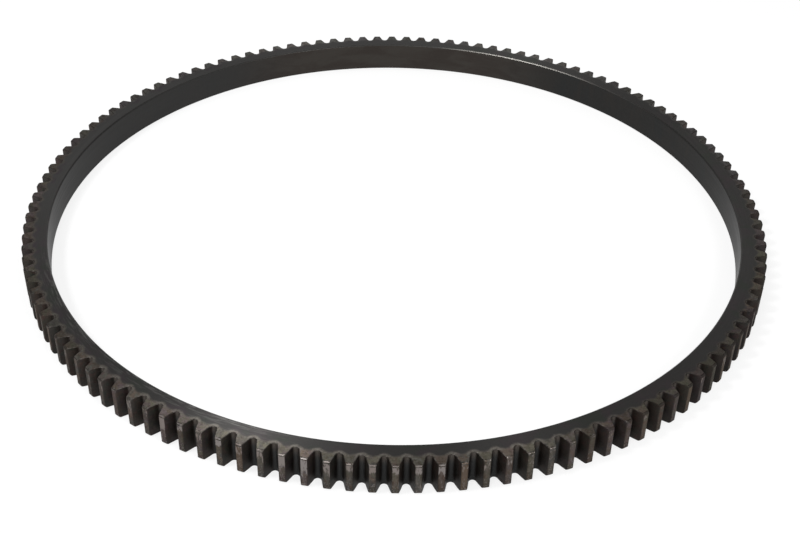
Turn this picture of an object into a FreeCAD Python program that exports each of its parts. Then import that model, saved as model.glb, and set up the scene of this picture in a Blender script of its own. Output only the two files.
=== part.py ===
"""Flywheel ring gear: one hobbed steel ring with external stub spur teeth.

The row frame has its origin on the bore axis, in the plane of the back face.
+Z points from the back face to the front face, and a tooth is centred on +X.
All lengths are in millimetres, and all angles that are named in degrees say so.
"""
import FreeCAD
import Part
import math
import os

# Teeth: 8/10 diametral pitch stub, the usual system for starter rings
tooth_count = 126
module = 3.175                 # pitch diameter for each tooth, 8 diametral pitch
pressure_angle_degrees = 20.0
addendum = 2.54                # stub height above the pitch circle, 10 diametral pitch
dedendum = 3.65                # depth below the pitch circle, deep so that the pinion clears
backlash_allowance = 0.15      # how much thinner a tooth is than half the circular pitch
tip_corner_break = 0.4         # width of the break along a tip's corners, on land and flank

# Ring
face_width = 17.5              # from the back face to the front face
rim_thickness = 7.475          # from the bore to the floor of a tooth space
bore_chamfer = 0.6             # 45 degree chamfer at both ends of the bore
tip_edge_break = 0.8           # 45 degree break turned on both ends of the tooth tips

# How far the cutter runs past both faces and past the tooth tips
cutter_overrun = 0.5

# Flat cuts that the hob leaves along the curved foot of each flank, from the middle of
# the space to the involute
foot_flats = 4

pitch_radius = tooth_count * module / 2
tip_radius = pitch_radius + addendum
root_radius = pitch_radius - dedendum
bore_radius = root_radius - rim_thickness
cutter_radius = tip_radius + cutter_overrun
pressure_angle = math.radians(pressure_angle_degrees)
base_radius = pitch_radius * math.cos(pressure_angle)
half_pitch_angle = math.pi / tooth_count
tooth_thickness = math.pi * module / 2 - backlash_allowance

# The hob works as a straight-sided rack tooth that fills the space on the pitch line. Its
# tip is rounded over its whole width, and the rounding runs into both straight sides.
space_width = math.pi * module - tooth_thickness
hob_tip_radius = ((space_width / 2 - dedendum * math.tan(pressure_angle))
                  / (1 / math.cos(pressure_angle) - math.tan(pressure_angle)))
hob_centre_depth = dedendum - hob_tip_radius

# The hob breaks the corners of the tips too. A flank leans from the radius by its own
# pressure angle, and there it ends below the tip circle by the break's width.
tip_lean = math.acos(base_radius / tip_radius)
flank_end_radius = tip_radius - tip_corner_break * math.cos(tip_lean)


def involute(angle):
    """Involute function of a pressure angle."""
    return math.tan(angle) - angle


def polar(radius, angle):
    """Point at a radius and an angle about the bore axis."""
    return FreeCAD.Vector(radius * math.cos(angle), radius * math.sin(angle), 0)


def flank_angle(radius):
    """Angle from the middle of a tooth space to its flank, at a radius.

    The flank is the involute of the base circle, placed so that each tooth has its
    thickness on the pitch circle.
    """
    half_tooth_at_base = tooth_thickness / (2 * pitch_radius) + involute(pressure_angle)
    return half_pitch_angle - half_tooth_at_base + involute(math.acos(base_radius / radius))


def foot_point(contact_angle, side):
    """Point on the curved foot that the hob's rounded tip leaves in the tooth space.

    As the ring turns, the centre of the rounding rolls past the pitch point. The rounding
    always touches the finished foot on the line from the pitch point through its centre.
    The contact angle is that line's angle to the ring's radius: zero in the middle of the
    space, and a right angle less the pressure angle where the foot meets the involute.
    """
    roll = hob_centre_depth * math.tan(contact_angle)
    x = pitch_radius - hob_centre_depth - hob_tip_radius * math.cos(contact_angle)
    y = roll + hob_tip_radius * math.sin(contact_angle)
    turn_of_ring = roll / pitch_radius
    return polar(math.hypot(x, y), side * (math.atan2(y, x) - turn_of_ring))


def foot_points(side):
    """Corners of the foot's flat cuts, from the middle of the space to the involute."""
    last_angle = math.pi / 2 - pressure_angle
    return [foot_point(last_angle * index / foot_flats, side) for index in range(foot_flats + 1)]


def flank_edge(foot_end, side):
    """Involute edge of one flank, from its foot to the break along the tip's corner."""
    foot_radius = foot_end.Length
    radii = [foot_radius, (foot_radius + flank_end_radius) / 2, flank_end_radius]
    curve = Part.BSplineCurve()
    curve.interpolate([polar(radius, side * flank_angle(radius)) for radius in radii])
    return curve.toShape()


def corner_edge(side):
    """Edge of the break along a tip's corner, from the flank to past the tip.

    It crosses the tip circle one break's width along the land.
    """
    start = polar(flank_end_radius, side * flank_angle(flank_end_radius))
    land_angle = flank_angle(tip_radius) + tip_corner_break / tip_radius
    across = polar(tip_radius, side * land_angle) - start
    past_tip = (cutter_radius - flank_end_radius) / (tip_radius - flank_end_radius)
    curve = Part.BSplineCurve()
    curve.interpolate([start, start + across * (1 + past_tip) / 2, start + across * past_tip])
    return curve.toShape()


def tooth_space_profile():
    """Face of one tooth space, centred on +X, in the plane of the back face."""
    lower, upper = foot_points(-1), foot_points(1)
    root = Part.makePolygon(lower[::-1] + upper[1:])
    flanks = [flank_edge(lower[-1], -1), flank_edge(upper[-1], 1)]
    corners = [corner_edge(-1), corner_edge(1)]
    outside = Part.makeLine(corners[0].lastVertex().Point, corners[1].lastVertex().Point)
    edges = root.Edges + flanks + corners + [outside]
    return Part.Face(Part.Wire(Part.__sortEdges__(edges)))


def turned_blank():
    """Ring as it leaves the lathe: bore chamfers and tip edge breaks, no teeth."""
    section = [
        (bore_radius + bore_chamfer, 0),
        (tip_radius - tip_edge_break, 0),
        (tip_radius, tip_edge_break),
        (tip_radius, face_width - tip_edge_break),
        (tip_radius - tip_edge_break, face_width),
        (bore_radius + bore_chamfer, face_width),
        (bore_radius, face_width - bore_chamfer),
        (bore_radius, bore_chamfer),
    ]
    corners = [FreeCAD.Vector(radius, 0, height) for radius, height in section]
    profile = Part.Face(Part.makePolygon(corners + corners[:1]))
    return profile.revolve(FreeCAD.Vector(0, 0, 0), FreeCAD.Vector(0, 0, 1), 360)


def tooth_spaces():
    """Solids that the hob takes out, one between each pair of teeth."""
    profile = tooth_space_profile()
    profile.translate(FreeCAD.Vector(0, 0, -cutter_overrun))
    space = profile.extrude(FreeCAD.Vector(0, 0, face_width + 2 * cutter_overrun))
    spaces = []
    for index in range(tooth_count):
        turned = space.copy()
        angle = math.degrees((2 * index + 1) * half_pitch_angle)
        turned.rotate(FreeCAD.Vector(0, 0, 0), FreeCAD.Vector(0, 0, 1), angle)
        spaces.append(turned)
    return spaces


def ring_gear():
    """The whole ring: the turned blank with its tooth spaces cut."""
    return turned_blank().cut(tooth_spaces())


def main():
    """Build the ring and write it."""
    os.makedirs("parts", exist_ok=True)
    ring = ring_gear()
    solid = ring.Solids[0]
    print("solids", len(ring.Solids), "valid", solid.isValid(), "volume mm3", round(solid.Volume, 1))
    solid.exportStep("parts/ring_gear.step")


main()
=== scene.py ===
"""Dressed scene of a starter ring gear: one hobbed steel ring on a white studio floor.

The ring is in the CAD model's own frame, in metres: the origin is on the bore axis in the
plane of the back face, +Z points to the front face, and a tooth is centred on +X.
"""
import logging
import math
from dataclasses import dataclass, field
from enum import Enum
from typing import Callable, Optional, Union

import bpy
from mathutils import Matrix, Vector


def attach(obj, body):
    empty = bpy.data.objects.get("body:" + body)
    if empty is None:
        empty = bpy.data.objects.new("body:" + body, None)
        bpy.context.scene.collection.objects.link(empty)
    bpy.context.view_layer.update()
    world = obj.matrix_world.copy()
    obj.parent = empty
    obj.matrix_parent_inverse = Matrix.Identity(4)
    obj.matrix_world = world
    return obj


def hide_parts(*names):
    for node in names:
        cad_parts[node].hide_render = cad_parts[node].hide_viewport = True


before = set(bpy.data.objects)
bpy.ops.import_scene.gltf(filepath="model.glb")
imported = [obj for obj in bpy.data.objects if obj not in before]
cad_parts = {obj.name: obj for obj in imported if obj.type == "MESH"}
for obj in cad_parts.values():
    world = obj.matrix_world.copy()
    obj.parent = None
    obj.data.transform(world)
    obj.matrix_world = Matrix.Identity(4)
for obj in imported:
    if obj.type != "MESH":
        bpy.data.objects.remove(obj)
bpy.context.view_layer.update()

LOG = logging.getLogger("ring_gear_scene")
MM = 0.001
# How far off a circle a point may be and still count as on it, in millimetres
SLACK = 0.05
# Lengths this near to each other are the same, in metres
SAME = 1e-6
RGB = tuple[float, float, float]
Pair = tuple[float, float]
Socket = bpy.types.NodeSocket
Feed = Union[Socket, float, RGB]
Paint = tuple[Feed, Feed, Feed]
# Kinds of the effects' sockets, where they aren't plain numbers
KINDS = {"Point": "Vector", "Heading": "Vector", "Color": "Color", "Warm": "Color",
         "Cool": "Color"}


class Finish(Enum):
    """Surfaces of the ring, in the order of its material slots."""

    FACE = 0
    BORE = 1
    CHAMFER = 2
    FLANK = 3
    TIP = 4
    EDGE = 5


# Form


@dataclass(frozen=True)
class StubTooth:
    """Hobbed stub tooth of a starter ring, in millimetres.

    Its outline is worked out from the hob's straight-sided rack, as a gear cutter would.
    """

    count: int = 126
    module: float = 3.175
    pressure_angle: float = math.radians(20)
    addendum: float = 2.54
    dedendum: float = 3.65
    backlash: float = 0.15
    tip_corner_break: float = 0.4
    foot_steps: int = 8
    flank_steps: int = 5
    corner_steps: int = 3
    tip_steps: int = 2

    @property
    def pitch_radius(self) -> float:
        """Radius of the pitch circle."""
        return self.count * self.module / 2

    @property
    def tip_radius(self) -> float:
        """Radius over the tooth tips."""
        return self.pitch_radius + self.addendum

    @property
    def root_radius(self) -> float:
        """Radius at the floors of the tooth spaces."""
        return self.pitch_radius - self.dedendum

    @property
    def half_pitch_angle(self) -> float:
        """Angle from the middle of a tooth to the middle of the next space."""
        return math.pi / self.count

    @property
    def hob_tip_radius(self) -> float:
        """Rounding of the hob's tip, which runs into both of its straight sides."""
        half_space = (math.pi * self.module / 2 + self.backlash) / 2
        slope = math.tan(self.pressure_angle)
        return (half_space - self.dedendum * slope) / (1 / math.cos(self.pressure_angle) - slope)

    def flank_point(self, radius: float) -> Pair:
        """Point of the involute flank.

        Args:
            radius: Distance from the bore axis.

        Returns:
            The radius, and the angle from the middle of the space.
        """
        base_radius = self.pitch_radius * math.cos(self.pressure_angle)
        thickness = math.pi * self.module / 2 - self.backlash
        at_pitch = math.tan(self.pressure_angle) - self.pressure_angle
        slope = math.acos(base_radius / radius)
        half_tooth_at_base = thickness / (2 * self.pitch_radius) + at_pitch
        return radius, self.half_pitch_angle - half_tooth_at_base + math.tan(slope) - slope

    def foot_point(self, contact_angle: float) -> Pair:
        """Point of the curved foot that the hob's rounded tip leaves.

        Args:
            contact_angle: Zero in the middle of the space, and a right angle less the
                pressure angle where the foot meets the involute.

        Returns:
            The radius, and the angle from the middle of the space.
        """
        depth = self.dedendum - self.hob_tip_radius
        roll = depth * math.tan(contact_angle)
        x = self.pitch_radius - depth - self.hob_tip_radius * math.cos(contact_angle)
        y = roll + self.hob_tip_radius * math.sin(contact_angle)
        return math.hypot(x, y), math.atan2(y, x) - roll / self.pitch_radius

    def corner_points(self) -> list[Pair]:
        """Points of the rounded break along a corner of the tip, from flank to land.

        Returns:
            Pairs of radius and angle from the middle of the space.
        """
        lean = math.acos(self.pitch_radius * math.cos(self.pressure_angle) / self.tip_radius)
        turn = math.pi / 2 - lean
        rounding = self.tip_corner_break / math.tan(turn / 2)
        land_angle = self.flank_point(self.tip_radius)[1] + self.tip_corner_break / self.tip_radius
        points = []
        for step in range(self.corner_steps + 1):
            left = turn * (1 - step / self.corner_steps)
            drop = rounding * (1 - math.cos(left))
            along = rounding * math.sin(left)
            points.append((self.tip_radius - drop, land_angle - along / self.tip_radius))
        return points

    def half_outline(self) -> list[Pair]:
        """Outline from the middle of a space to the land of the tooth tip.

        Returns:
            Pairs of radius and angle from the middle of the space.
        """
        last_contact = math.pi / 2 - self.pressure_angle
        foot = [self.foot_point(last_contact * step / self.foot_steps)
                for step in range(self.foot_steps + 1)]
        corner = self.corner_points()
        rise = corner[0][0] - foot[-1][0]
        flank = [self.flank_point(foot[-1][0] + rise * step / self.flank_steps)
                 for step in range(1, self.flank_steps)]
        return foot + flank + corner

    def outline(self) -> list[Pair]:
        """Outline of one tooth about +X, from the space before it to the space after it.

        Returns:
            Pairs of radius and angle about the bore axis, in order of the angle.
        """
        before = [(radius, angle - self.half_pitch_angle) for radius, angle in self.half_outline()]
        after = [(radius, -angle) for radius, angle in reversed(before)]
        land = [(self.tip_radius, before[-1][1] * (1 - 2 * step / self.tip_steps))
                for step in range(1, self.tip_steps)]
        return before + land + after


def polar(radius: float, angle: float, height: float = 0.0) -> Vector:
    """Point in metres, from millimetres and an angle about the bore axis."""
    return Vector((radius * math.cos(angle), radius * math.sin(angle), height)) * MM


def clear_selection() -> None:
    """Deselect every object, the CAD node among them."""
    if bpy.context.mode != "OBJECT":
        bpy.ops.object.mode_set(mode="OBJECT")
    bpy.ops.object.select_all(action="DESELECT")


def pick(piece: bpy.types.Object, part: str, rule: Callable[[Vector, Vector], bool]) -> None:
    """Select the edges or faces that meet a rule, and go into edit mode.

    Args:
        piece: Object whose mesh is edited.
        part: "EDGE" or "FACE".
        rule: Takes the two ends of an edge, or the centre and the normal of a face.
    """
    bpy.ops.object.mode_set(mode="EDIT")
    bpy.ops.mesh.select_mode(type=part)
    bpy.ops.mesh.select_all(action="DESELECT")
    bpy.ops.object.mode_set(mode="OBJECT")
    mesh = piece.data
    if part == "EDGE":
        for edge in mesh.edges:
            start, end = (mesh.vertices[corner].co for corner in edge.vertices)
            edge.select = rule(start, end)
    else:
        for face in mesh.polygons:
            face.select = rule(face.center, face.normal)
    bpy.ops.object.mode_set(mode="EDIT")


def round_within(limit: float) -> Callable[[Vector, Vector], bool]:
    """Make the rule for edges that go round the bore axis, inside a radius in metres."""

    def rule(start: Vector, end: Vector) -> bool:
        """Tell whether an edge is level and keeps its radius."""
        level = abs(start.z - end.z) < SAME
        keeps_radius = abs(start.xy.length - end.xy.length) < SAME
        return level and keeps_radius and max(start.xy.length, end.xy.length) < limit

    return rule


@dataclass
class RingGear:
    """The ring: a turned blank with hobbed teeth, its edges lightly broken.

    Sizes are in millimetres.
    """

    tooth: StubTooth = field(default_factory=StubTooth)
    face_width: float = 17.5
    rim_thickness: float = 7.475
    bore_chamfer: float = 0.6
    tip_edge_break: float = 0.8
    deburring: float = 0.32
    bore_deburring: float = 0.1
    weld: float = 0.004
    bore_steps: int = 4
    sharp_angle: float = math.radians(28)
    shading_angle: float = math.radians(50)
    flatness_weight: int = 80
    name: str = "ring_gear_dressed"

    @property
    def bore_radius(self) -> float:
        """Radius of the bore."""
        return self.tooth.root_radius - self.rim_thickness

    @property
    def chamfered(self) -> float:
        """Radius in metres that the bore's chamfers stay inside."""
        return (self.bore_radius + self.bore_chamfer + SLACK) * MM

    def draw_sector(self) -> bpy.types.Object:
        """Draw the flat outline of one tooth with its share of the rim.

        Returns:
            An object in edit mode whose mesh is one face in the plane of the back face.
        """
        half = self.tooth.half_pitch_angle
        path = [polar(radius, angle) for radius, angle in self.tooth.outline()]
        for step in range(self.bore_steps + 1):
            path.append(polar(self.bore_radius, half * (1 - 2 * step / self.bore_steps)))
        bpy.ops.mesh.primitive_plane_add(size=MM, location=path[0])
        piece = bpy.context.object
        piece.name = piece.data.name = self.name
        bpy.ops.object.transform_apply(location=True, rotation=True, scale=True)
        bpy.ops.object.mode_set(mode="EDIT")
        bpy.ops.mesh.select_mode(type="VERT")
        bpy.ops.mesh.select_all(action="SELECT")
        bpy.ops.mesh.merge(type="CENTER")
        for start, end in zip(path, path[1:]):
            bpy.ops.mesh.extrude_vertices_move(TRANSFORM_OT_translate={"value": end - start})
        bpy.ops.mesh.select_all(action="SELECT")
        bpy.ops.mesh.edge_face_add()
        return piece

    def raise_sector(self, piece: bpy.types.Object) -> None:
        """Give the sector its face width, and cut the turned breaks off the tooth's ends.

        Args:
            piece: The flat sector, in edit mode.
        """
        half = self.tooth.half_pitch_angle
        bpy.ops.mesh.extrude_region_move(
            TRANSFORM_OT_translate={"value": (0.0, 0.0, self.face_width * MM)})
        break_radius = self.tooth.tip_radius - self.tip_edge_break
        for height, way in ((self.face_width, 1.0), (0.0, -1.0)):
            bpy.ops.mesh.select_all(action="SELECT")
            bpy.ops.mesh.bisect(plane_co=polar(break_radius, 0.0, height),
                                plane_no=(1.0, 0.0, way), use_fill=True,
                                clear_outer=True, threshold=1e-7)
        cuts = [polar(1.0, side * half + math.pi / 2).normalized() for side in (-1, 1)]
        parallel, near_cut = 0.9999, 0.99 * half

        def on_cut(centre: Vector, normal: Vector) -> bool:
            """Tell whether a face is one of the two where the sector meets its neighbours."""
            along_cut = any(abs(normal.dot(cut)) > parallel for cut in cuts)
            return along_cut and abs(math.atan2(centre.y, centre.x)) > near_cut

        pick(piece, "FACE", on_cut)
        bpy.ops.mesh.delete(type="FACE")

    def go_round(self) -> None:
        """Repeat the sector in edit mode about the bore axis, and join the copies."""
        copies = self.tooth.count - 1
        bpy.ops.mesh.select_all(action="SELECT")
        bpy.ops.mesh.spin(steps=copies, dupli=True, angle=2 * math.pi * copies / self.tooth.count,
                          center=(0.0, 0.0, 0.0), axis=(0.0, 0.0, 1.0))
        bpy.ops.mesh.select_all(action="SELECT")
        bpy.ops.mesh.remove_doubles(threshold=self.weld * MM)
        bpy.ops.mesh.select_all(action="SELECT")
        bpy.ops.mesh.normals_make_consistent(inside=False)

    def break_edges(self, piece: bpy.types.Object) -> None:
        """Turn the bore's chamfers, then take the burr off every sharp edge.

        Args:
            piece: The whole ring, in edit mode.
        """
        pick(piece, "EDGE", round_within((self.bore_radius + SLACK) * MM))
        bpy.ops.mesh.bevel(offset=self.bore_chamfer * MM, segments=1, affect="EDGES")
        bpy.ops.mesh.select_all(action="DESELECT")
        bpy.ops.mesh.edges_select_sharp(sharpness=self.sharp_angle)
        bpy.ops.object.mode_set(mode="OBJECT")
        corners = piece.data.vertices
        for edge in piece.data.edges:
            outside = corners[edge.vertices[0]].co.xy.length > self.chamfered
            edge.select = edge.select and outside
        bpy.ops.object.mode_set(mode="EDIT")
        bpy.ops.mesh.bevel(offset=self.deburring * MM, segments=3, affect="EDGES",
                           material=Finish.EDGE.value, clamp_overlap=True)
        pick(piece, "EDGE", round_within(self.chamfered))
        bpy.ops.mesh.bevel(offset=self.bore_deburring * MM, segments=1, affect="EDGES")
        bpy.ops.mesh.select_all(action="SELECT")
        bpy.ops.mesh.normals_make_consistent(inside=False)
        bpy.ops.object.mode_set(mode="OBJECT")

    def surface(self, centre: Vector, normal: Vector) -> Finish:
        """Tell which surface of the ring a face belongs to.

        Args:
            centre: The face's centre.
            normal: Its normal.

        Returns:
            The surface. Deburred edges are told apart before.
        """
        radius = centre.xy.length
        outward = normal.xy.dot(centre.xy) / radius
        land = (self.tooth.tip_radius - self.tip_edge_break - 2 * SLACK) * MM
        faces_axis, leans_to_axis, faces_out, upright = -0.9, -0.5, 0.6, 0.5
        if radius < self.chamfered and outward < faces_axis:
            return Finish.BORE
        if radius < self.chamfered and outward < leans_to_axis:
            return Finish.CHAMFER
        if radius > land and outward > faces_out:
            return Finish.TIP
        return Finish.FACE if abs(normal.z) > upright else Finish.FLANK

    def smooth(self, piece: bpy.types.Object) -> None:
        """Round the shading over the broken edges and keep the wide faces flat.

        Args:
            piece: The whole ring, in object mode.
        """
        bpy.ops.object.shade_smooth_by_angle(angle=self.shading_angle)
        weighted = piece.modifiers.new("flat_faces", "WEIGHTED_NORMAL")
        weighted.keep_sharp = True
        weighted.weight = self.flatness_weight
        bpy.ops.object.modifier_apply(modifier=weighted.name)

    def build(self, finishes: dict[Finish, bpy.types.Material]) -> bpy.types.Object:
        """Build and dress the ring.

        Args:
            finishes: The material for each surface.

        Returns:
            The finished ring, with its place in its mesh.
        """
        clear_selection()
        piece = self.draw_sector()
        for surface in Finish:
            piece.data.materials.append(finishes[surface])
        self.raise_sector(piece)
        self.go_round()
        self.break_edges(piece)
        for face in piece.data.polygons:
            if face.material_index != Finish.EDGE.value:
                face.material_index = self.surface(face.center, face.normal).value
        self.smooth(piece)
        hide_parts("ring_gear")
        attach(piece, "root")
        LOG.info("%s: %d faces", piece.name, len(piece.data.polygons))
        return piece


# Finishes


class Board:
    """Node tree that is filled node by node."""

    def __init__(self, tree: bpy.types.NodeTree) -> None:
        """Start on an empty tree."""
        self.tree = tree
        self.tree.nodes.clear()

    def feed(self, socket: Socket, value: Feed) -> None:
        """Link a socket, or set its value.

        Args:
            socket: Input to feed.
            value: An output socket, a number, a colour or a vector.
        """
        if isinstance(value, bpy.types.NodeSocket):
            self.tree.links.new(value, socket)
        elif isinstance(value, tuple) and socket.type == "RGBA":
            socket.default_value = (*value, 1.0)
        else:
            socket.default_value = value

    def add(self, kind: str, feeds: Optional[dict] = None, **settings: object) -> bpy.types.Node:
        """Add a node.

        Args:
            kind: The node's type name without its leading "ShaderNode".
            feeds: Values or sockets by input name or number.
            settings: Other properties of the node.

        Returns:
            The new node.
        """
        full = kind if kind.startswith("Node") else "ShaderNode" + kind
        node = self.tree.nodes.new(full)
        for key, setting in settings.items():
            setattr(node, key, setting)
        for key, value in (feeds or {}).items():
            self.feed(node.inputs[key], value)
        return node

    def calc(self, operation: str, *terms: Feed) -> Socket:
        """Work out one number from its terms with a Math node."""
        return self.add("Math", dict(enumerate(terms)), operation=operation).outputs[0]

    def less(self, first: Feed, second: Feed) -> Socket:
        """Take one number from another."""
        return self.calc("SUBTRACT", first, second)

    def product(self, first: Feed, *others: Feed) -> Feed:
        """Multiply two or more numbers."""
        for other in others:
            first = self.calc("MULTIPLY", first, other)
        return first

    def vector(self, operation: str, first: Feed, second: Optional[Feed] = None) -> Socket:
        """Work out a vector, a length or a dot product.

        Args:
            operation: The Vector Math node's operation.
            first: A vector.
            second: Another vector, or the scale.

        Returns:
            The result.
        """
        feeds = {0: first}
        if second is not None:
            feeds["Scale" if operation == "SCALE" else 1] = second
        node = self.add("VectorMath", feeds, operation=operation)
        return node.outputs["Value" if operation in ("LENGTH", "DOT_PRODUCT") else "Vector"]

    def combine(self, x: Feed, y: Feed, z: Feed = 0.0) -> Socket:
        """Join three numbers to a vector."""
        return self.add("CombineXYZ", {0: x, 1: y, 2: z}).outputs[0]

    def split(self, vector: Socket) -> bpy.types.NodeOutputs:
        """Split a vector into its three numbers."""
        return self.add("SeparateXYZ", {0: vector}).outputs

    def ramp(self, value: Feed, start: Feed, end: Feed, low: Feed = 0.0,
             high: Feed = 1.0) -> Socket:
        """Ease from one number to another as a value goes from start to end.

        Args:
            value: The value that is followed.
            start: Where the ease begins.
            end: Where it ends.
            low: The number before the start.
            high: The number after the end.

        Returns:
            The eased number.
        """
        feeds = {"Value": value, "From Min": start, "From Max": end, "To Min": low, "To Max": high}
        return self.add("MapRange", feeds, interpolation_type="SMOOTHSTEP").outputs["Result"]

    def fade(self, value: Feed, start: Feed, end: Feed) -> Socket:
        """Ease from 1 to 0 as a value goes from start to end."""
        return self.ramp(value, start, end, 1.0, 0.0)

    def between(self, value: Feed, low: Feed, high: Feed) -> Socket:
        """Ease from one number to another as a value goes from 0 to 1."""
        return self.ramp(value, 0.0, 1.0, low, high)

    def blend(self, amount: Feed, first: Feed, second: Feed, how: str = "MIX") -> Socket:
        """Blend two colours.

        Args:
            amount: 0 for the first colour, 1 for the second.
            first: The colour underneath.
            second: The colour on top.
            how: Blend type.

        Returns:
            The blended colour.
        """
        feeds = {0: amount, 6: first, 7: second}
        return self.add("Mix", feeds, data_type="RGBA", blend_type=how).outputs[2]

    def shade(self, amount: Feed, colour: Feed, factor: Feed) -> Socket:
        """Multiply a colour by another, as far as the amount says."""
        return self.blend(amount, colour, factor, "MULTIPLY")

    def grey(self, value: Socket) -> Socket:
        """Make a grey of one value."""
        return self.add("CombineColor", {0: value, 1: value, 2: value}).outputs[0]

    def noise(self, vector: Feed, scale: float, detail: float = 2.0, rough: float = 0.5,
              twist: float = 0.0) -> Socket:
        """Add soft noise, most of it between 0.25 and 0.75.

        Args:
            vector: Where it is read, in millimetres.
            scale: Features for each millimetre.
            detail: Number of finer octaves.
            rough: Strength of the finer octaves.
            twist: Distortion.

        Returns:
            The noise.
        """
        feeds = {"Vector": vector, "Scale": scale, "Detail": detail, "Roughness": rough,
                 "Distortion": twist}
        return self.add("TexNoise", feeds).outputs[0]

    def chances(self, number: Socket) -> bpy.types.NodeOutputs:
        """Draw three numbers from 0 to 1 that depend on a number."""
        drawn = self.add("TexWhiteNoise", {"W": number}, noise_dimensions="1D")
        return self.add("SeparateColor", {0: drawn.outputs["Color"]}).outputs

    def effect(self, group: bpy.types.NodeTree, **feeds: Feed) -> bpy.types.NodeOutputs:
        """Place an effect group, with its inputs fed by name, and give its outputs."""
        node = self.add("Group")
        node.node_tree = group
        for key, value in feeds.items():
            self.feed(node.inputs[key], value)
        return node.outputs


class Effect(Board):
    """Node group that the finishes share. No shader goes into it or comes out of it."""

    def __init__(self, name: str, takes: str, gives: str) -> None:
        """Start the group with its named sockets.

        Args:
            name: Name of the group.
            takes: Names of its inputs.
            gives: Names of its outputs.
        """
        super().__init__(bpy.data.node_groups.new(name, "ShaderNodeTree"))
        for way, sockets in (("INPUT", takes), ("OUTPUT", gives)):
            for socket in sockets.split():
                kind = "NodeSocket" + KINDS.get(socket, "Float")
                self.tree.interface.new_socket(socket, in_out=way, socket_type=kind)
        self.taken = self.add("NodeGroupInput").outputs
        self.given = self.add("NodeGroupOutput").inputs

    def finish(self, **values: Feed) -> bpy.types.NodeTree:
        """Feed the group's outputs by name, and give the group."""
        for name, value in values.items():
            self.feed(self.given[name], value)
        return self.tree


@dataclass(frozen=True)
class ToothCasts:
    """Factors for the colour of a tooth, by what hardening and oil left on it.

    A tooth has the olive cast, or the next one once its chance passes that one's number.
    """

    olive: RGB = (1.0, 1.02, 0.91)
    purple: RGB = (1.02, 0.94, 1.04)
    purple_from: float = 0.28
    tan: RGB = (1.08, 0.96, 0.89)
    tan_from: float = 0.56
    steel: RGB = (0.95, 1.0, 1.0)
    steel_from: float = 0.80
    overlap: float = 0.1
    darkest: float = 0.84
    lightest: float = 1.16
    patch_scale: float = 0.28
    patch_starts: float = 0.42
    patch_ends: float = 0.58
    below_root: float = 0.8
    above_root: float = 1.6
    seeds: Pair = (911.0, 2207.0)


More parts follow.
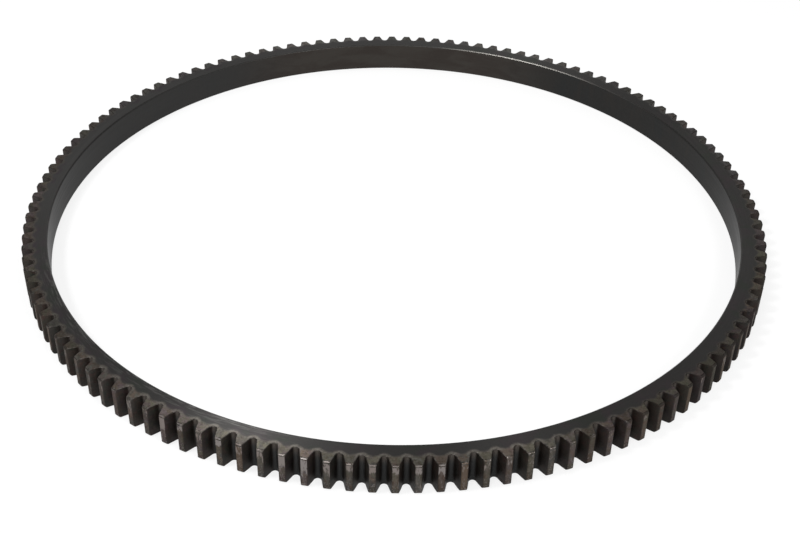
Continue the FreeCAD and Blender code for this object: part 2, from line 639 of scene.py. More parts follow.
class Effects:
    """Node groups that the ring's finishes share."""

    def __init__(self, ring: RingGear) -> None:
        """Make the groups for a ring's sizes."""
        self.ring = ring
        self.place = self.make_place()
        self.chance = self.make_chance()
        self.cast = self.make_cast(ToothCasts())
        self.side = self.make_side()
        self.mottle = self.make_mottle()
        self.tool_marks = self.make_tool_marks()
        self.rub = self.make_rub()

    def make_place(self) -> bpy.types.NodeTree:
        """Make the group that says where on the ring a point is.

        Returns:
            A group that gives the point in millimetres, its radius, its height, its heading
            from the bore axis, the number of its tooth, and its part of a pitch from the
            middle of that tooth.
        """
        group = Effect("place_on_ring", "", "Point Radius Height Tooth Phase Heading")
        here = group.add("TexCoord").outputs["Object"]
        point = group.vector("SCALE", here, 1 / MM)
        axes = group.split(point)
        across = group.combine(axes[0], axes[1])
        angle = group.calc("ARCTAN2", axes[1], axes[0])
        pitches = group.product(angle, self.ring.tooth.count / (2 * math.pi))
        nearest = group.calc("ROUND", pitches)
        tooth = group.calc("FLOORED_MODULO", nearest, float(self.ring.tooth.count))
        return group.finish(
            Point=point, Radius=group.vector("LENGTH", across), Height=axes[2], Tooth=tooth,
            Phase=group.less(pitches, nearest), Heading=group.vector("NORMALIZE", across))

    def make_chance(self) -> bpy.types.NodeTree:
        """Make the group that gives each tooth its own three numbers.

        Returns:
            A group from the tooth's number and a seed to three numbers from 0 to 1.
        """
        group = Effect("chance_of_tooth", "Tooth Seed", "First Second Third")
        seed_step = 173.0
        number = group.calc("MULTIPLY_ADD", group.taken["Seed"], seed_step, group.taken["Tooth"])
        first, second, third = group.chances(number)
        return group.finish(First=first, Second=second, Third=third)

    def make_cast(self, casts: ToothCasts) -> bpy.types.NodeTree:
        """Make the group for the casts that hardening and oil left on each tooth.

        Args:
            casts: The casts a tooth can have.

        Returns:
            A group that multiplies a colour by the two casts of its tooth, which share it
            in patches, and leaves the rim as it is.
        """
        group = Effect("cast_of_tooth", "Color Point Tooth Radius", "Color")
        both = []
        for seed in casts.seeds:
            chance = group.chances(group.calc("ADD", group.taken["Tooth"], seed))
            cast: Feed = casts.olive
            for start, following in ((casts.purple_from, casts.purple),
                                     (casts.tan_from, casts.tan),
                                     (casts.steel_from, casts.steel)):
                passed = group.ramp(chance[0], start, start + casts.overlap)
                cast = group.blend(passed, cast, following)
            light = group.between(chance[1], casts.darkest, casts.lightest)
            both.append(group.shade(1.0, cast, group.grey(light)))
        clouds = group.noise(group.taken["Point"], casts.patch_scale, 4.0, 0.66, 0.8)
        patches = group.ramp(clouds, casts.patch_starts, casts.patch_ends)
        cast = group.shade(1.0, group.taken["Color"], group.blend(patches, *both))
        root = self.ring.tooth.root_radius
        on_tooth = group.ramp(group.taken["Radius"], root - casts.below_root,
                              root + casts.above_root)
        return group.finish(Color=group.blend(on_tooth, group.taken["Color"], cast))

    def make_side(self) -> bpy.types.NodeTree:
        """Make the group for one side of the ring, such as the side where the light falls.

        Returns:
            A group from a heading to a share. With the cosine of the angle away from that
            side, the share eases from 1 at Fades to 0 at Ends.
        """
        group = Effect("side_of_ring", "Heading Side Fades Ends", "Share")
        side = group.calc("RADIANS", group.taken["Side"])
        way = group.combine(group.calc("COSINE", side), group.calc("SINE", side))
        along = group.vector("DOT_PRODUCT", group.taken["Heading"], way)
        return group.finish(Share=group.ramp(along, group.taken["Ends"], group.taken["Fades"]))

    def make_mottle(self) -> bpy.types.NodeTree:
        """Make the group for the uneven colour of oiled, oxidised steel.

        Returns:
            A group from a colour to that colour with soft patches of two others.
        """
        group = Effect("oxide_mottle", "Point Color Warm Cool Size Amount Grain", "Color")
        taken = group.taken
        point = group.vector("SCALE", taken["Point"], group.calc("DIVIDE", 1.0, taken["Size"]))
        aside = group.vector("ADD", point, (7.3, 2.1, 5.7))
        warm = group.ramp(group.noise(point, 1.0, 3.0, 0.55, 0.6), 0.48, 0.68)
        cool = group.ramp(group.noise(aside, 1.3, 2.0, 0.5, 0.3), 0.5, 0.7)
        colour = group.blend(group.product(warm, taken["Amount"]), taken["Color"], taken["Warm"])
        colour = group.blend(group.product(cool, taken["Amount"]), colour, taken["Cool"])
        fine = group.less(group.noise(taken["Point"], 1.2, 5.0, 0.72), 0.5)
        swing = group.calc("MULTIPLY_ADD", fine, group.product(taken["Grain"], 4.0), 1.0)
        return group.finish(Color=group.shade(1.0, colour, group.grey(swing)))

    def make_tool_marks(self) -> bpy.types.NodeTree:
        """Make the group for the fine lines that a cutting tool leaves.

        The lines follow the turn of the ring, with a little waver.

        Returns:
            A group from a distance across the lines to their height.
        """
        group = Effect("tool_marks", "Across Heading Lines Waver", "Height")
        turn = group.split(group.vector("SCALE", group.taken["Heading"], group.taken["Waver"]))
        lines = group.product(group.taken["Across"], group.taken["Lines"])
        place = group.combine(turn[0], turn[1], lines)
        return group.finish(Height=group.noise(place, 1.0, 3.0, 0.7))

    def make_rub(self) -> bpy.types.NodeTree:
        """Make the group for broken patches of bright metal.

        Returns:
            A group from a level, 0 for untouched and 1 for fully rubbed, to a ragged mask.
        """
        group = Effect("rubbed_bright", "Point Level Size Softness", "Mask")
        taken = group.taken
        point = group.vector("SCALE", taken["Point"], group.calc("DIVIDE", 1.0, taken["Size"]))
        spread = group.ramp(group.noise(point, 1.0, 5.0, 0.68, 0.4), 0.22, 0.78)
        edge = group.less(1.0, taken["Level"])
        low = group.less(edge, taken["Softness"])
        high = group.calc("ADD", edge, taken["Softness"])
        return group.finish(Mask=group.ramp(spread, low, high))


@dataclass(frozen=True)
class Side:
    """One side of the ring: its heading in degrees, and the cosines where it fades and ends."""

    heading: float
    fades: float = 0.9
    ends: float = 0.5
    amount: float = 1.0


@dataclass(frozen=True)
class Mottle:
    """A colour with patches of a warmer and a cooler one, their size in millimetres."""

    colour: RGB
    warm: RGB
    cool: RGB
    size: float
    amount: float
    grain: float


@dataclass(frozen=True)
class Patches:
    """Patches of noise: features for each millimetre, octaves, and where the edge eases."""

    scale: float
    detail: float
    rough: float
    starts: float
    ends: float
    low: float = 0.0
    high: float = 1.0


@dataclass(frozen=True)
class Marks:
    """Tool marks: lines for each millimetre across them, and waver along the turn."""

    lines: float
    waver: float


class Coat(Board):
    """Node tree of one finish, with the shared effects read at the shaded point."""

    def __init__(self, tree: bpy.types.NodeTree, effects: Effects) -> None:
        """Start on an empty tree, at the shaded point's place on the ring."""
        super().__init__(tree)
        self.effects = effects
        self.ring = effects.ring
        self.place = self.effect(effects.place)
        self.point = self.place["Point"]
        self.radius = self.place["Radius"]
        self.height = self.place["Height"]

    def share(self, side: Side) -> Socket:
        """Tell how far the point is on one side of the ring, from 0 to the side's amount."""
        share = self.effect(self.effects.side, Heading=self.place["Heading"], Side=side.heading,
                            Fades=side.fades, Ends=side.ends)[0]
        return share if side.amount == 1.0 else self.product(share, side.amount)

    def mottle(self, colours: Mottle, point: Optional[Socket] = None) -> Socket:
        """Mix mottled colours, read at the point or at a stretched one."""
        return self.effect(self.effects.mottle, Point=point or self.point, Color=colours.colour,
                           Warm=colours.warm, Cool=colours.cool, Size=colours.size,
                           Amount=colours.amount, Grain=colours.grain)[0]

    def cast(self, colour: Socket) -> Socket:
        """Give a colour the casts of its tooth."""
        return self.effect(self.effects.cast, Color=colour, Point=self.point,
                           Tooth=self.place["Tooth"], Radius=self.radius)[0]

    def chance(self, seed: float) -> bpy.types.NodeOutputs:
        """Give the tooth's three numbers for a seed."""
        return self.effect(self.effects.chance, Tooth=self.place["Tooth"], Seed=seed)

    def tool_marks(self, across: Socket, marks: Marks) -> Socket:
        """Give the height of tool marks, from the distance across them."""
        return self.effect(self.effects.tool_marks, Across=across, Heading=self.place["Heading"],
                           Lines=marks.lines, Waver=marks.waver)[0]

    def stretch(self, flat: float, upright: float) -> Socket:
        """Scale the point, in the plane of the ring and along its axis."""
        return self.vector("MULTIPLY", self.point, (flat, flat, upright))

    def patches(self, kind: Patches) -> Socket:
        """Mask patches of noise."""
        noise = self.noise(self.point, kind.scale, kind.detail, kind.rough)
        return self.ramp(noise, kind.starts, kind.ends, kind.low, kind.high)


@dataclass(frozen=True)
class SteelFinish:
    """What every finish of the ring has: one Principled shader fed by its own nodes.

    The roughness goes down by `smoother` and up by `rougher`.
    """

    name: str
    roughness: float
    bump: float
    grazing_tint: float
    lay: float
    metal: float
    smoother: float = 0.05
    rougher: float = 0.06
    relief: float = 0.05
    sheen: float = 0.3
    quarter_turn: float = 0.25

    def paint(self, coat: Coat) -> Paint:
        """Lay the finish.

        Args:
            coat: The material's node tree.

        Returns:
            The colour, the roughness, and the height of the relief from 0 to 1.
        """
        raise NotImplementedError

    def rough_by(self, coat: Coat, marks: Socket) -> Socket:
        """Make the crests of tool marks rougher than their valleys."""
        return coat.ramp(marks, 0.3, 0.7, self.roughness - self.smoother,
                         self.roughness + self.rougher)

    def smooth_by(self, coat: Coat, brightened: Socket) -> Socket:
        """Make rubbed metal smoother than the rest."""
        return coat.between(brightened, self.roughness + self.rougher, self.roughness - self.smoother)

    def make(self, effects: Effects) -> bpy.types.Material:
        """Make the material, brushed round the ring by its lay.

        Args:
            effects: The shared node groups.

        Returns:
            The material.
        """
        material = bpy.data.materials.new(self.name)
        material.use_nodes = True
        coat = Coat(material.node_tree, effects)
        colour, rough, height = self.paint(coat)
        bump = coat.add("Bump", {"Strength": self.bump, "Distance": self.relief * MM,
                                 "Height": height})
        turned = coat.add("Tangent", direction_type="RADIAL", axis="Z")
        steel = coat.add("BsdfPrincipled", {
            "Base Color": colour, "Metallic": self.metal, "Roughness": rough,
            "Anisotropic": self.lay, "Anisotropic Rotation": self.quarter_turn,
            "Specular Tint": (self.grazing_tint,) * 3, "Specular IOR Level": self.sheen,
            "Normal": bump.outputs[0], "Tangent": turned.outputs[0]})
        coat.add("OutputMaterial", {"Surface": steel.outputs["BSDF"]}, is_active_output=True)
        return material


@dataclass(frozen=True)
class TurnedFace(SteelFinish):
    """End faces: dark turned rim, and teeth tinted tan by the hardening heat."""

    name: str = "turned_face"
    roughness: float = 0.41
    bump: float = 0.2
    grazing_tint: float = 0.7
    lay: float = 0.9
    metal: float = 1.0
    smoother: float = 0.04
    rougher: float = 0.05
    tint_roughens: float = 0.16
    marks: Marks = Marks(2.4, 5.0)
    rim: Mottle = Mottle((0.069, 0.0665, 0.0645), (0.075, 0.0645, 0.067),
                         (0.063, 0.0675, 0.059), size=16.0, amount=0.9, grain=0.10)
    rim_purple: RGB = (0.078, 0.065, 0.0715)
    rim_rear: RGB = (0.088, 0.086, 0.084)
    rim_scratch: RGB = (0.20, 0.196, 0.188)
    purple_side: Side = Side(175.0, 0.7, -0.1)
    purple_patches: Patches = Patches(0.1, 3.0, 0.5, starts=0.48, ends=0.62, high=0.8)
    rear_side: Side = Side(128.0, 0.85, 0.25, amount=0.9)
    # Painted shade on the rim where the lamp's streak falls at the rear right
    shaded_side: Side = Side(52.0, 0.96, 0.82, amount=0.45)
    stained_side: Side = Side(140.0, 0.3, -0.4)
    scratched_side: Side = Side(-136.0, 0.95, 0.82)
    scratches: Marks = Marks(1.1, 19.0)
    tint: Mottle = Mottle((0.160, 0.146, 0.128), (0.158, 0.134, 0.128),
                          (0.146, 0.138, 0.117), size=3.0, amount=0.9, grain=0.36)
    tint_rear: RGB = (0.162, 0.161, 0.158)
    tint_speck: RGB = (0.130, 0.070, 0.058)
    specks: Patches = Patches(1.5, 2.0, 0.5, starts=0.60, ends=0.68)
    # Painted shade: the factor that darkens lit stretches of the rim and the teeth
    painted_shade: RGB = (0.58, 0.58, 0.58)
    pit: RGB = (0.52, 0.48, 0.46)
    pits: Patches = Patches(0.5, 5.0, 0.8, starts=0.40, ends=0.52, low=1.0, high=0.0)
    tint_rear_side: Side = Side(80.0, 0.6, -0.1)
    # Painted shade on the teeth where the lamp's streak falls at the rear right
    tint_shaded_side: Side = Side(60.0, 0.96, 0.82)
    tint_starts: float = 195.9
    tint_scallop: float = 0.9
    tint_waver: float = 2.0
    tint_recedes: float = 1.0
    receding_side: Side = Side(-18.0)
    halo: RGB = (0.245, 0.230, 0.205)
    halo_radius: float = 2.45
    halo_centre: float = 198.1
    halo_width: float = 1.35
    halo_strength: float = 0.58
    arch_starts: float = 196.4
    arch_ends: float = 198.4
    arch_faint: float = 0.15
    halo_side: Side = Side(-112.0)
    halo_breaks: Patches = Patches(0.6, 3.0, 0.6, starts=0.36, ends=0.62, low=0.15)

    def past_tint(self, coat: Coat) -> Socket:
        """Tell how far outside the scalloped start of the tint the point is.

        Args:
            coat: The material's node tree.

        Returns:
            The distance in millimetres, below zero on the rim.
        """
        wave = coat.calc("COSINE", coat.product(coat.place["Phase"], 2 * math.pi))
        start = coat.calc("MULTIPLY_ADD", wave, self.tint_scallop, self.tint_starts)
        start = coat.calc("MULTIPLY_ADD", coat.share(self.receding_side), self.tint_recedes, start)
        waver = coat.less(coat.noise(coat.point, 0.35, 3.0, 0.6), 0.5)
        return coat.less(coat.calc("MULTIPLY_ADD", waver, self.tint_waver, coat.radius), start)

    def turned_rim(self, coat: Coat, past: Socket) -> Socket:
        """Mix the rim's dark grey, with its scratches and the purple beside the tint.

        Args:
            coat: The material's node tree.
            past: Distance past the start of the tint.

        Returns:
            The rim's colour.
        """
        bore = coat.ring.bore_radius
        rim = coat.mottle(self.rim)
        rim = coat.blend(coat.share(self.rear_side), rim, self.rim_rear)
        # Painted shade over the lamp's streak at the rear right
        rim = coat.shade(coat.share(self.shaded_side), rim, self.painted_shade)
        stained = coat.product(coat.share(self.stained_side),
                               coat.ramp(coat.radius, bore + 1.5, bore + 7.0, 0.0, 0.5))
        rim = coat.blend(stained, rim, coat.cast(rim))
        lines = coat.tool_marks(coat.radius, self.scratches)
        scratched = coat.product(
            coat.ramp(lines, 0.48, 0.64, 0.0, 0.6),
            coat.ramp(coat.radius, bore + 1.0, bore + 6.0, 1.0, 0.3),
            coat.between(coat.share(self.scratched_side), 0.06, 1.0))
        rim = coat.blend(scratched, rim, self.rim_scratch)
        band = coat.product(coat.ramp(past, -3.4, -1.4), coat.patches(self.purple_patches),
                            coat.share(self.purple_side))
        return coat.blend(band, rim, self.rim_purple)

    def heat_tint(self, coat: Coat) -> Socket:
        """Mix the teeth's tan, with its patches, red specks and pits.

        Args:
            coat: The material's node tree.

        Returns:
            The teeth's colour.
        """
        rear = coat.share(self.tint_rear_side)
        speckled = coat.ramp(coat.chance(1.0)["Third"], 0.5, 1.0, 0.0, 0.6)
        specks = coat.product(coat.patches(self.specks), speckled)
        tint = coat.blend(specks, coat.mottle(self.tint), self.tint_speck)
        tint = coat.cast(coat.blend(coat.product(rear, 0.7), tint, self.tint_rear))
        tint = coat.blend(coat.product(rear, 0.4), tint, self.tint_rear)
        # Painted shade over the lamp's streak at the rear right
        tint = coat.shade(coat.share(self.tint_shaded_side), tint, self.painted_shade)
        pits = coat.product(coat.patches(self.pits), coat.between(rear, 0.55, 1.0))
        return coat.shade(pits, tint, self.pit)

    def halo_mask(self, coat: Coat) -> Socket:
        """Mask the paler line round the foot of each tooth space, strongest towards the front
        left.

        Args:
            coat: The material's node tree.

        Returns:
            The mask.
        """
        tooth = coat.ring.tooth
        pitch_length = 2 * math.pi * tooth.root_radius / tooth.count
        off_middle = coat.less(0.5, coat.calc("ABSOLUTE", coat.place["Phase"]))
        away = coat.combine(coat.product(off_middle, pitch_length),
                            coat.less(coat.radius, self.halo_centre))
        off_line = coat.less(coat.vector("LENGTH", away), self.halo_radius)
        line = coat.fade(coat.calc("ABSOLUTE", off_line), 0.0, self.halo_width)
        over_arch = coat.ramp(coat.radius, self.arch_starts, self.arch_ends, 1.0, self.arch_faint)
        strength = coat.between(coat.share(self.halo_side), 0.0, self.halo_strength)
        return coat.product(strength, coat.patches(self.halo_breaks), over_arch, line)

    def paint(self, coat: Coat) -> Paint:
        """Lay the rim, the tint and the halo between them.

        Args:
            coat: The material's node tree.

        Returns:
            The colour, the roughness and the height of the relief.
        """
        past = self.past_tint(coat)
        tinted = coat.ramp(past, -1.0, 0.9)
        colour = coat.blend(tinted, self.turned_rim(coat, past), self.heat_tint(coat))
        colour = coat.blend(self.halo_mask(coat), colour, self.halo)
        marks = coat.tool_marks(coat.radius, self.marks)
        rough = coat.calc("MULTIPLY_ADD", tinted, self.tint_roughens, self.rough_by(coat, marks))
        return colour, rough, marks


@dataclass(frozen=True)
class BoreWall(SteelFinish):
    """Turned bore: dark brown-grey with soft oil and heat stains."""

    name: str = "bore_wall"
    roughness: float = 0.38
    bump: float = 0.2
    grazing_tint: float = 0.70
    lay: float = 0.4
    metal: float = 1.0
    marks: Marks = Marks(2.2, 4.0)
    wall: Mottle = Mottle((0.0292, 0.0286, 0.0278), (0.033, 0.0305, 0.0285),
                          (0.027, 0.0285, 0.0285), size=10.0, amount=0.7, grain=0.10)
    wall_rear: RGB = (0.050, 0.0445, 0.0395)
    wall_left: RGB = (0.038, 0.0375, 0.037)
    stain_rear: RGB = (0.0415, 0.035, 0.031)
    rear_side: Side = Side(88.0, 0.96, 0.80, amount=0.85)
    left_side: Side = Side(145.0, 0.95, 0.75, amount=0.8)

    def paint(self, coat: Coat) -> Paint:
        """Lay the wall, paler on the left and stained in bands at the rear.

        Args:
            coat: The material's node tree.

        Returns:
            The colour, the roughness and the height of the relief.
        """
        wall = coat.mottle(self.wall, coat.stretch(1.0, 0.35))
        wall = coat.blend(coat.share(self.left_side), wall, self.wall_left)
        bands = coat.noise(coat.stretch(0.45, 1.5), 0.085, 4.0, 0.6, 0.5)
        stained = coat.blend(coat.ramp(bands, 0.38, 0.62), self.wall_rear, self.stain_rear)
        wall = coat.blend(coat.share(self.rear_side), wall, stained)
        marks = coat.tool_marks(coat.height, self.marks)
        return wall, self.rough_by(coat, marks), marks


@dataclass(frozen=True)
class TurnedChamfer(SteelFinish):
    """Chamfers of the bore: turned last, with a painted highlight along one stretch."""

    name: str = "turned_chamfer"
    roughness: float = 0.37
    bump: float = 0.06
    grazing_tint: float = 0.7
    lay: float = 0.3
    metal: float = 1.0
    marks: Marks = Marks(2.0, 5.0)
    cut: Mottle = Mottle((0.070, 0.068, 0.066), (0.074, 0.067, 0.064),
                         (0.064, 0.066, 0.064), size=9.0, amount=0.8, grain=0.08)
    # Painted highlight: the lamp's reflection, painted into the colour along one stretch of the
    # chamfer
    brightened: RGB = (0.175, 0.169, 0.157)
    lit_side: Side = Side(62.0, 0.99, 0.95)

    def paint(self, coat: Coat) -> Paint:
        """Lay the cut metal and the painted highlight along its lit stretch.

        Args:
            coat: The material's node tree.

        Returns:
            The colour, the roughness and the height of the relief.
        """
        # Painted highlight along the lit stretch of the chamfer
        colour = coat.blend(coat.share(self.lit_side), coat.mottle(self.cut), self.brightened)
        return colour, self.roughness, coat.tool_marks(coat.height, self.marks)


@dataclass(frozen=True)
class CutFlank(SteelFinish):
    """Hobbed flanks and floors: near black, with a red-brown cast and a greyer floor."""

    name: str = "cut_flank"
    roughness: float = 0.5
    bump: float = 0.3
    grazing_tint: float = 0.5
    lay: float = 0.0
    metal: float = 0.4
    smoother: float = 0.06
    rougher: float = 0.08
    marks: Marks = Marks(1.4, 60.0)
    flank: Mottle = Mottle((0.040, 0.034, 0.030), (0.049, 0.033, 0.030),
                           (0.032, 0.034, 0.029), size=3.2, amount=0.9, grain=0.30)
    # Painted shade: the factor that darkens the flanks on the right-front side
    painted_shade: RGB = (0.72, 0.69, 0.70)
    # Painted shade: the flanks on the right-front side darker than the lamps leave them
    shaded_side: Side = Side(-55.0, 0.85, 0.45)
    # Painted shade: the foot of each flank darker, deep in the tooth space
    foot: RGB = (0.60, 0.56, 0.54)
    # Painted shade: the flanks and floors darker low down, towards the back face
    low: RGB = (0.60, 0.60, 0.60)
    floor: RGB = (0.038, 0.0385, 0.038)
    floor_tinted: RGB = (0.088, 0.073, 0.062)

    def paint(self, coat: Coat) -> Paint:
        """Lay the flanks, with painted shade at the foot, low down and at the right front, and the
        tinted floors.

        Args:
            coat: The material's node tree.

        Returns:
            The colour, the roughness and the height of the relief.
        """
        root = coat.ring.tooth.root_radius
        width = coat.ring.face_width
        flank = coat.cast(coat.mottle(self.flank))
        # Painted shade on the right-front flanks
        flank = coat.shade(coat.share(self.shaded_side), flank, self.painted_shade)
        # Painted shade at the foot of the flank, deep in the tooth space
        foot = coat.fade(coat.radius, root + 0.8, root + 3.6)
        flank = coat.shade(foot, flank, self.foot)
        tinted = coat.ramp(coat.height, width - 6.0, width - 1.0, 0.0, 0.8)
        on_floor = coat.fade(coat.radius, root + 0.15, root + 0.7)
        colour = coat.blend(on_floor, flank, coat.blend(tinted, self.floor, self.floor_tinted))
        # Painted shade low down, towards the back face
        low = coat.fade(coat.height, 3.0, width)
        marks = coat.tool_marks(coat.height, self.marks)
        return coat.shade(low, colour, self.low), self.rough_by(coat, marks), marks


@dataclass(frozen=True)
class WornTip(SteelFinish):
    """Tooth tips: tempered brown, scuffed bright towards the front face, partly painted highlight.
    """

    name: str = "worn_tip"
    roughness: float = 0.42
    bump: float = 0.3
    grazing_tint: float = 0.40
    lay: float = 0.0
    metal: float = 0.8
    smoother: float = 0.06
    rougher: float = 0.05
    marks: Marks = Marks(1.8, 40.0)
    temper: Mottle = Mottle((0.076, 0.067, 0.059), (0.082, 0.061, 0.053),
                            (0.076, 0.073, 0.074), size=4.0, amount=0.9, grain=0.44)
    temper_tan: RGB = (0.110, 0.080, 0.058)
    # Scuff colours: bare metal, and painted highlight where the scuffs gather on the lit side
    bright: RGB = (0.215, 0.195, 0.188)
    bright_warm: RGB = (0.185, 0.155, 0.140)
    corner: RGB = (0.62, 0.60, 0.58)
    # Painted shade: the tips darker low down, near the floor
    low: RGB = (0.78, 0.78, 0.78)
    # Painted shade: the turned breaks at the tips' ends darker away from the lit front
    painted_break_shade: RGB = (0.042, 0.036, 0.032)
    dots: Patches = Patches(1.7, 1.0, 0.5, starts=0.59, ends=0.65, high=0.6)
    # The lit side: the scuffs and the bright line gather here, partly as painted highlight
    lit_side: Side = Side(-105.0, 0.97, 0.88)
    deepest_scuff: float = 0.22
    shallowest_scuff: float = 0.68
    full_scuff: float = 3.0
    scuff_size: float = 1.0
    scuff_softness: float = 0.13
    line_wanders: float = 0.26
    line_width: Pair = (0.012, 0.035)
    line_brightness: float = 0.75
    # The lit front, where the breaks keep their colour and the lamps' highlight shows
    break_lit_side: Side = Side(-96.0, 0.95, 0.80)

    def scuffs(self, coat: Coat) -> Socket:
        """Mask the pinion's scuffs: ragged streaks that start at the front face, partly painted
        highlight.

        Args:
            coat: The material's node tree.

        Returns:
            The mask.
        """
        width = coat.ring.face_width
        # Scuffs and the bright line are kept to the lit side: wear, and painted highlight
        share = coat.share(self.lit_side)
        chance = coat.chance(2.0)
        reach = coat.between(chance["First"], self.shallowest_scuff * width,
                             self.deepest_scuff * width)
        level = coat.product(coat.ramp(coat.height, reach, width - self.full_scuff, 0.2, 0.94),
                             coat.between(share, 0.34, 0.96),
                             coat.ramp(chance["Second"], 0.0, 0.9, 0.55, 1.0))
        brightened = coat.effect(coat.effects.rub, Point=coat.stretch(1.0, 0.32), Level=level,
                             Size=self.scuff_size, Softness=self.scuff_softness)[0]
        middle = coat.calc("MULTIPLY_ADD", chance["Third"], self.line_wanders,
                           -self.line_wanders / 2)
        off_line = coat.calc("ABSOLUTE", coat.less(coat.place["Phase"], middle))
        line = coat.product(coat.ramp(off_line, *self.line_width, self.line_brightness, 0.0),
                            coat.ramp(chance["Second"], 0.4, 0.9),
                            coat.ramp(coat.height, 3.0, 12.0), share)
        return coat.calc("MAXIMUM", brightened, line)

    def tempered(self, coat: Coat) -> Socket:
        """Mix the brown under the scuffs, darker at the corners, with painted shade low down.

        Args:
            coat: The material's node tree.

        Returns:
            The brown.
        """
        tanned = coat.ramp(coat.chance(3.0)["Second"], 0.78, 0.92, 0.0, 0.75)
        temper = coat.blend(tanned, coat.cast(coat.mottle(self.temper)), self.temper_tan)
        off_middle = coat.calc("ABSOLUTE", coat.place["Phase"])
        temper = coat.shade(coat.ramp(off_middle, 0.07, 0.15, 0.0, 0.8), temper, self.corner)
        # Painted shade low down on the tips, near the floor
        temper = coat.shade(coat.fade(coat.height, 1.5, 8.0), temper, self.low)
        dots = coat.product(coat.patches(self.dots), coat.fade(coat.height, 3.0, 12.0))
        return coat.blend(dots, temper, self.bright)

    def paint(self, coat: Coat) -> Paint:
        """Lay the brown, the scuffs, and painted shade on the turned breaks away from the lit
        side.

        Args:
            coat: The material's node tree.

        Returns:
            The colour, the roughness and the height of the relief.
        """
        tip = coat.ring.tooth.tip_radius
        brightened = self.scuffs(coat)
        bright = coat.blend(coat.chance(3.0)["First"], self.bright, self.bright_warm)
        colour = coat.blend(brightened, self.tempered(coat), bright)
        # Painted shade on the breaks at the tips' ends, away from the lit front
        dark = coat.product(coat.fade(coat.radius, tip - 0.14, tip - 0.04),
                            coat.fade(coat.share(self.break_lit_side), 0.0, 0.8))
        colour = coat.blend(dark, colour, self.painted_break_shade)
        marks = coat.tool_marks(coat.height, self.marks)
        return colour, self.smooth_by(coat, brightened), marks


@dataclass(frozen=True)
class BrokenEdge(SteelFinish):
    """Deburred edges: a little brighter than the faces beside them, and uneven."""

    name: str = "broken_edge"
    roughness: float = 0.45
    bump: float = 0.3
    grazing_tint: float = 0.5
    lay: float = 0.0
    metal: float = 0.7
    dull: Mottle = Mottle((0.052, 0.046, 0.041), (0.060, 0.045, 0.040),
                          (0.048, 0.048, 0.046), size=4.0, amount=0.8, grain=0.30)
    # Bright patches: wear, and painted highlight on the lit side
    bright: RGB = (0.12, 0.109, 0.099)
    # Painted shade: the edges darker away from the lit side
    shaded: RGB = (0.55, 0.55, 0.55)
    dots: Patches = Patches(1.7, 1.0, 0.5, starts=0.59, ends=0.65, high=0.55)
    lit_side: Side = Side(-108.0, 0.96, 0.5)
    patch_size: float = 2.0
    patch_softness: float = 0.22

    def paint(self, coat: Coat) -> Paint:
        """Lay the dull metal with painted shade away from the lit side, and bright patches, partly
        painted highlight.

        Args:
            coat: The material's node tree.

        Returns:
            The colour, the roughness and the height of the relief.
        """
        share = coat.share(self.lit_side)
        brightened = coat.effect(coat.effects.rub, Point=coat.point, Size=self.patch_size,
                             Softness=self.patch_softness,
                             Level=coat.between(share, 0.08, 0.44))[0]
        # Painted shade on the edges away from the lit side, bright patches on it
        shade_away_from_light = coat.ramp(share, 0.0, 0.9, 0.75, 0.0)
        dull = coat.shade(shade_away_from_light, coat.cast(coat.mottle(self.dull)), self.shaded)
        dots = coat.product(coat.patches(self.dots), coat.fade(coat.height, 5.0, 14.0))
        colour = coat.blend(coat.calc("MAXIMUM", brightened, dots), dull, self.bright)
        return colour, self.smooth_by(coat, brightened), coat.noise(coat.point, 3.0, 3.0, 0.6)


# Studio


@dataclass(frozen=True)
class SoftLamp:
    """Soft box: where it hangs, its size and its power. It looks at the ring's middle."""

    name: str
    place: tuple[float, float, float]
    size: Pair
    watts: float

    def hang(self) -> bpy.types.Object:
        """Add the lamp to the scene.

        Returns:
            The lamp.
        """
        clear_selection()
        bpy.ops.object.light_add(type="AREA", location=self.place)
        lamp = bpy.context.object
        lamp.name = self.name
        lamp.data.shape = "RECTANGLE"
        lamp.data.size, lamp.data.size_y = self.size
        lamp.data.energy = self.watts
        lamp.rotation_euler = (-Vector(self.place)).to_track_quat("-Z", "Y").to_euler()
        return lamp


@dataclass(frozen=True)
class PhotoCamera:
    """Camera that stands where the photographer's did."""

    place: tuple[float, float, float] = (-0.02460, -0.59645, 0.42232)
    looks_down: float = math.radians(36.860)
    heading: float = math.radians(-1.159)
    roll: float = math.radians(0.414)
    focal_length: float = 58.204
    sensor_width: float = 36.0
    shift: Pair = (0.03692, -0.00334)
    nearest: float = 0.01

    def stand(self) -> bpy.types.Object:
        """Add the camera and make it the scene's.

        Returns:
            The camera.
        """
        clear_selection()
        bpy.ops.object.camera_add(location=self.place)
        camera = bpy.context.object
        camera.name = "photo_camera"
        turn = (Matrix.Rotation(self.heading, 3, "Z")
                @ Matrix.Rotation(math.pi / 2 - self.looks_down, 3, "X")
                @ Matrix.Rotation(self.roll, 3, "Z"))
        camera.rotation_euler = turn.to_euler()
        camera.data.lens = self.focal_length
        camera.data.sensor_width = self.sensor_width
        camera.data.shift_x, camera.data.shift_y = self.shift
        camera.data.clip_start = self.nearest
        bpy.context.scene.camera = camera
        return camera


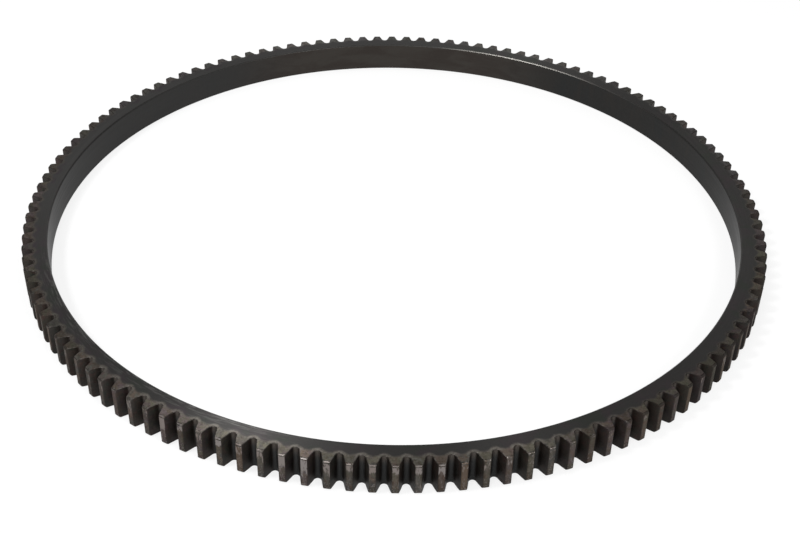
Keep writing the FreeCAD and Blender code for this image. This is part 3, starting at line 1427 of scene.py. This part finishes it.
@dataclass
class Studio:
    """White product studio: a pale floor, a white room and soft lamps."""

    floor_size: float = 24.0
    floor_gap: float = 0.00005
    floor_colour: RGB = (0.86, 0.86, 0.86)
    seen_floor: RGB = (0.26, 0.26, 0.26)
    seen_glow: float = 0.78
    room_light: float = 0.50
    ceiling: float = 0.32
    ceiling_starts: float = 0.32
    ceiling_ends: float = 0.78
    sides: float = 0.30
    sides_start: float = 0.15
    sides_end: float = 0.75
    rear_starts: float = -0.1
    rear_ends: float = 0.4
    lamps: tuple[SoftLamp, ...] = (
        SoftLamp("top_lamp", (-0.29, 0.43, 1.20), (0.2, 0.2), 1.15),
        SoftLamp("left_lamp", (-0.62, -0.32, 1.10), (0.2, 0.2), 5.0),
        SoftLamp("front_lamp", (-0.46, -0.98, 0.92), (0.3, 0.3), 3.2),
        SoftLamp("right_lamp", (0.56, -0.86, 0.94), (0.35, 0.3), 3.6),
    )

    def lay_floor(self) -> bpy.types.Object:
        """Lay the floor just under the ring.

        Returns:
            The floor.
        """
        clear_selection()
        bpy.ops.mesh.primitive_plane_add(size=self.floor_size,
                                         location=(0.0, 0.0, -self.floor_gap))
        floor = bpy.context.object
        floor.name = "studio_floor"
        bpy.ops.object.transform_apply(location=True, rotation=True, scale=True)
        paper = bpy.data.materials.new("white_paper")
        paper.use_nodes = True
        board = Board(paper.node_tree)
        seen = self.seen_by_eye(board)
        colour = board.blend(seen, self.floor_colour, self.seen_floor)
        matt = board.add("BsdfDiffuse", {"Color": colour})
        glow = board.add("Emission", {"Color": (1.0, 1.0, 1.0),
                                      "Strength": board.product(seen, self.seen_glow)})
        both = board.add("AddShader", {0: matt.outputs[0], 1: glow.outputs[0]})
        board.add("OutputMaterial", {"Surface": both.outputs[0]})
        floor.data.materials.append(paper)
        return floor

    def seen_by_eye(self, board: Board) -> Socket:
        """Tell camera, mirror and glass rays from the rays that carry light.

        Args:
            board: Board of the floor or the room.

        Returns:
            1 for a ray that shows the background, 0 for one that lights the ring.
        """
        path = board.add("LightPath").outputs
        seen = board.calc("MAXIMUM", path["Is Camera Ray"], path["Is Glossy Ray"])
        return board.calc("MAXIMUM", seen, path["Is Transmission Ray"])

    def light_room(self) -> None:
        """Make the room white, with a dimmer ceiling and sides that only mirrors show."""
        room = bpy.data.worlds.new("white_room")
        bpy.context.scene.world = room
        room.use_nodes = True
        board = Board(room.node_tree)
        way = board.split(board.add("TexCoord").outputs["Generated"])
        ceiling = board.ramp(way[2], self.ceiling_starts, self.ceiling_ends, 1.0, self.ceiling)
        beside = board.ramp(board.calc("ABSOLUTE", way[0]), self.sides_start, self.sides_end)
        behind = board.ramp(way[1], self.rear_starts, self.rear_ends)
        sides = board.between(board.product(beside, behind), 1.0, self.sides)
        dome = board.product(ceiling, sides)
        path = board.add("LightPath").outputs
        shown = board.calc("MAXIMUM", dome, path["Is Camera Ray"])
        strength = board.add("Mix", {0: self.seen_by_eye(board), 2: self.room_light, 3: shown},
                             data_type="FLOAT")
        light = board.add("Background", {"Color": (1.0, 1.0, 1.0),
                                         "Strength": strength.outputs[0]})
        board.add("OutputWorld", {"Surface": light.outputs[0]})

    def build(self) -> None:
        """Set up the floor, the room, the lamps and the camera."""
        self.lay_floor()
        self.light_room()
        for lamp in self.lamps:
            lamp.hang()
        PhotoCamera().stand()
        bpy.context.scene.view_settings.view_transform = "Standard"
        LOG.info("studio: %d lamps", len(self.lamps))


def main() -> None:
    """Build the ring and its studio."""
    logging.basicConfig(level=logging.INFO, format="%(message)s")
    ring = RingGear()
    effects = Effects(ring)
    looks = {Finish.FACE: TurnedFace(), Finish.BORE: BoreWall(), Finish.CHAMFER: TurnedChamfer(),
             Finish.FLANK: CutFlank(), Finish.TIP: WornTip(), Finish.EDGE: BrokenEdge()}
    finishes = {surface: look.make(effects) for surface, look in looks.items()}
    LOG.info("finishes: %d", len(finishes))
    ring.build(finishes)
    Studio().build()


if __name__ == "__main__":
    main()
